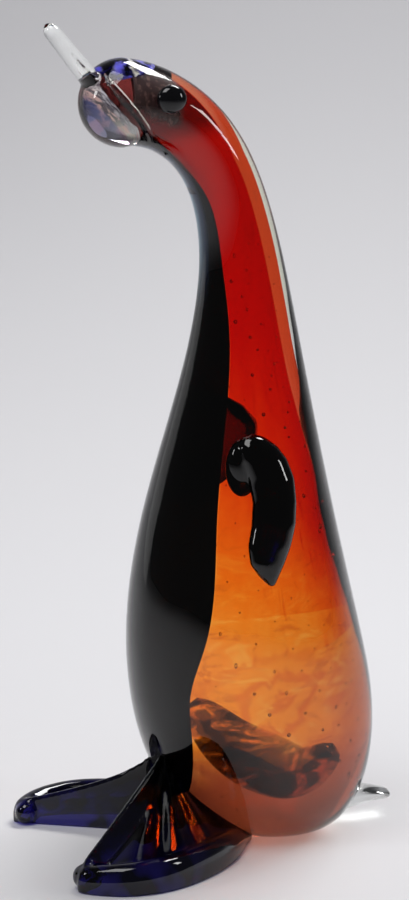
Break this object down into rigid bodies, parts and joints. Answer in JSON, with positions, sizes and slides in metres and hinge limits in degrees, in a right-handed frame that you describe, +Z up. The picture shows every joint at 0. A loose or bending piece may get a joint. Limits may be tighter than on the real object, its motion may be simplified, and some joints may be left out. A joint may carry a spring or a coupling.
{
  "type": "glass bird figurine",
  "caption": "Solid hot-worked glass bird standing upright with its head raised, cased in clear glass over a red and amber core, with a dark breast.",
  "frame": {"origin": "middle of the resting face under the body", "axes": "+Z up, the bird faces -Y and its left side is +X"},
  "size_m": [0.1093, 0.1389, 0.2987],
  "materials": {
    "clear_glass": "clear, polished",
    "red_glass": "transparent ruby red",
    "amber_glass": "transparent amber with folds of smoke",
    "dark_cobalt_glass": "near-black cobalt, glossy",
    "smoky_glass": "smoky dark grey",
    "cobalt_glass": "cobalt blue",
    "black_glass": "opaque black, glossy"
  },
  "bodies": {
    "root": {"clear_casing": "clear_glass", "red_overlay": "red_glass", "amber_core": "amber_glass", "breast_overlay": "dark_cobalt_glass", "smoke_ribbon": "smoky_glass", "crown_patch": "cobalt_glass", "beak": "clear_glass", "eye_left": "black_glass", "eye_right": "black_glass", "flipper_left": "dark_cobalt_glass", "flipper_right": "dark_cobalt_glass", "foot_left": "dark_cobalt_glass", "foot_right": "dark_cobalt_glass", "tail": "clear_glass"}
  },
  "joints": []
}
